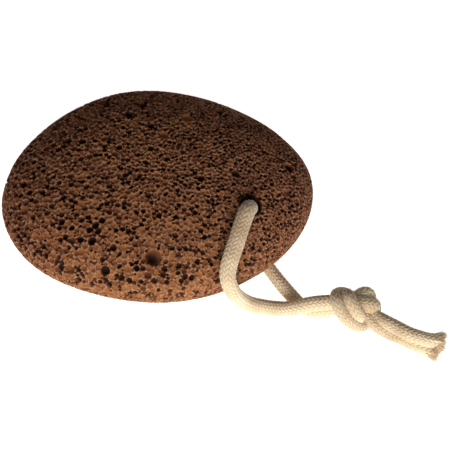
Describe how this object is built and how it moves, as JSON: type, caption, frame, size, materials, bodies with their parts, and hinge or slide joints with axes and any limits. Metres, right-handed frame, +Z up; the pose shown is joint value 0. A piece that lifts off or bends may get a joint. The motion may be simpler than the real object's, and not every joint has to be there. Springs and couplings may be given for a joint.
{
  "type": "lava stone",
  "caption": "Flat egg-shaped foot stone of porous lava, bored through near its narrow end, with a knotted cotton hanging cord.",
  "frame": {"origin": "on the surface that the stone lies on, under the middle of the stone's outline as seen from above", "axes": "+X along the stone's length towards its narrow, bored end; +Z up, from the sole to the rounded top; +Y across, away from the side where the cord lies"},
  "size_m": [0.1408, 0.0904, 0.0337],
  "materials": {
    "lava": "matte",
    "cotton": "matte"
  },
  "bodies": {
    "root": {"stone": "lava", "cord": "cotton"}
  },
  "joints": []
}
